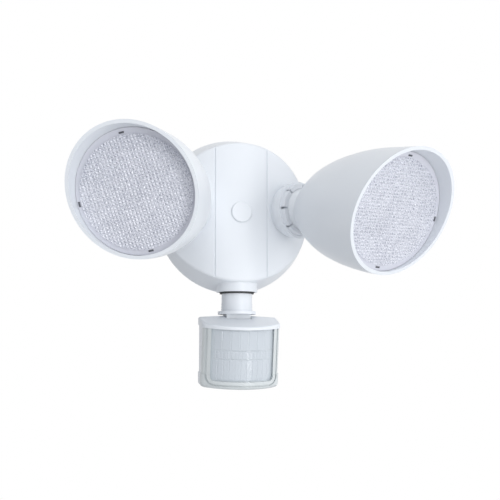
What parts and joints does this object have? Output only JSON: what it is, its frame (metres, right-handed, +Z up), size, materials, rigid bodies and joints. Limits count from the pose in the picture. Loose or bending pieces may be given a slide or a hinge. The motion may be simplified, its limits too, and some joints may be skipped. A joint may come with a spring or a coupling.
{
  "type": "motion sensor security light",
  "caption": "Outdoor security light: visored flood lamps on ball joints at a round wall canopy, with a motion sensor that pans and tilts below it.",
  "frame": {"origin": "centre of the canopy's wall face, on the axis of its centre bolt", "axes": "+Y into the wall and along the wall screws, +Z up, +X to the right seen from the front; the lamps and the sensor face -Y"},
  "size_m": [0.2653, 0.1614, 0.1874],
  "materials": {
    "white_plastic": "satin",
    "white_nylon": "satin",
    "foam_gasket": "matt",
    "dark_rubber": "matt",
    "zinc_steel": "satin",
    "green_screw": "gloss",
    "circuit_board": "satin",
    "black_components": "satin",
    "milky_film": "satin",
    "bright_metal": "gloss",
    "sensor_glass": "gloss",
    "grey_plastic": "satin",
    "clear_lens": "gloss",
    "grey_clip": "satin",
    "bare_aluminium": "satin",
    "white_board": "satin",
    "phosphor": "satin",
    "silvered": "gloss"
  },
  "bodies": {
    "canopy": {"canopy_housing": "white_plastic", "canopy_gasket": "foam_gasket", "mounting_crossbar": "zinc_steel", "bolt_seal": "dark_rubber", "mounting_bolt": "zinc_steel", "centre_plug": "white_plastic", "ground_screw": "green_screw", "driver_board": "circuit_board", "driver_components": "black_components", "driver_screws": "zinc_steel", "lamp_socket_ring_left": "white_nylon", "lamp_socket_ring_right": "white_nylon", "sensor_collar_bush": "dark_rubber"},
    "ball_seat_left": {"lamp_ball_seat_left": "white_nylon"},
    "knuckle_left": {"lamp_knuckle_left": "white_plastic", "lamp_stem_washer_left": "dark_rubber", "lamp_stem_nut_left": "white_nylon"},
    "lamp_left": {"lamp_housing_left": "white_plastic", "lamp_lens_left": "clear_lens", "lens_gasket_left": "dark_rubber", "lens_clips_left": "grey_clip", "heat_sink_left": "bare_aluminium", "heat_sink_screws_left": "zinc_steel", "led_board_left": "white_board", "led_chips_left": "phosphor", "reflector_left": "silvered"},
    "ball_seat_right": {"lamp_ball_seat_right": "white_nylon"},
    "knuckle_right": {"lamp_knuckle_right": "white_plastic", "lamp_stem_washer_right": "dark_rubber", "lamp_stem_nut_right": "white_nylon"},
    "lamp_right": {"lamp_housing_right": "white_plastic", "lamp_lens_right": "clear_lens", "lens_gasket_right": "dark_rubber", "lens_clips_right": "grey_clip", "heat_sink_right": "bare_aluminium", "heat_sink_screws_right": "zinc_steel", "led_board_right": "white_board", "led_chips_right": "phosphor", "reflector_right": "silvered"},
    "sensor_stem": {"sensor_neck": "white_plastic", "sensor_neck_nut": "white_nylon"},
    "sensor": {"sensor_roof": "white_plastic", "sensor_body": "white_plastic", "sensor_window_frame": "white_plastic", "fresnel_lens": "milky_film", "sensor_board": "circuit_board", "infrared_detector": "bright_metal", "photocell": "sensor_glass", "potentiometers": "black_components", "sensor_screws": "zinc_steel", "sensor_hinge_pin": "zinc_steel"},
    "time_knob": {"time_knob": "grey_plastic"},
    "range_knob": {"range_knob": "grey_plastic"},
    "mode_switch": {"mode_switch": "grey_plastic"}
  },
  "joints": [
    {"name": "lamp_swivel_left", "type": "hinge", "parent": "canopy", "child": "ball_seat_left", "pos_m": [-0.0435, -0.0325, 0.0027], "axis": [-0.5, -0.866, 0], "range_deg": [-90, 90]},
    {"name": "lamp_tilt_left", "type": "hinge", "parent": "ball_seat_left", "child": "knuckle_left", "pos_m": [-0.0435, -0.0325, 0.0027], "axis": [0.4807, -0.2775, 0.8318], "range_deg": [-31.6, 24.4]},
    {"name": "lamp_roll_left", "type": "hinge", "parent": "knuckle_left", "child": "lamp_left", "pos_m": [-0.0435, -0.0325, 0.0027], "axis": [-0.4537, -0.8905, -0.0349], "range_deg": [-170, 170]},
    {"name": "lamp_swivel_right", "type": "hinge", "parent": "canopy", "child": "ball_seat_right", "pos_m": [0.0435, -0.0325, 0.0027], "axis": [0.5, -0.866, 0], "range_deg": [-90, 90]},
    {"name": "lamp_tilt_right", "type": "hinge", "parent": "ball_seat_right", "child": "knuckle_right", "pos_m": [0.0435, -0.0325, 0.0027], "axis": [0.6382, 0.3684, -0.676], "range_deg": [-36.8, 19.2]},
    {"name": "lamp_roll_right", "type": "hinge", "parent": "knuckle_right", "child": "lamp_right", "pos_m": [0.0435, -0.0325, 0.0027], "axis": [0.4041, -0.9077, -0.1132], "range_deg": [-170, 170]},
    {"name": "sensor_pan", "type": "hinge", "parent": "canopy", "child": "sensor_stem", "pos_m": [0, -0.0175, -0.05], "axis": [0, 0, 1], "range_deg": [-30, 30]},
    {"name": "sensor_tilt", "type": "hinge", "parent": "sensor_stem", "child": "sensor", "pos_m": [0, -0.0175, -0.0817], "axis": [-1, 0, 0], "range_deg": [0, 20]},
    {"name": "time_knob_turn", "type": "hinge", "parent": "sensor", "child": "time_knob", "pos_m": [-0.012, -0.01879, -0.1262], "axis": [0, -0.1736, 0.9848], "range_deg": [-135, 135]},
    {"name": "range_knob_turn", "type": "hinge", "parent": "sensor", "child": "range_knob", "pos_m": [0.012, -0.01879, -0.1262], "axis": [0, -0.1736, 0.9848], "range_deg": [-135, 135]},
    {"name": "mode_switch_slide", "type": "slide", "parent": "sensor", "child": "mode_switch", "axis": [1, 0, 0], "range_m": [0, 0.004]}
  ]
}
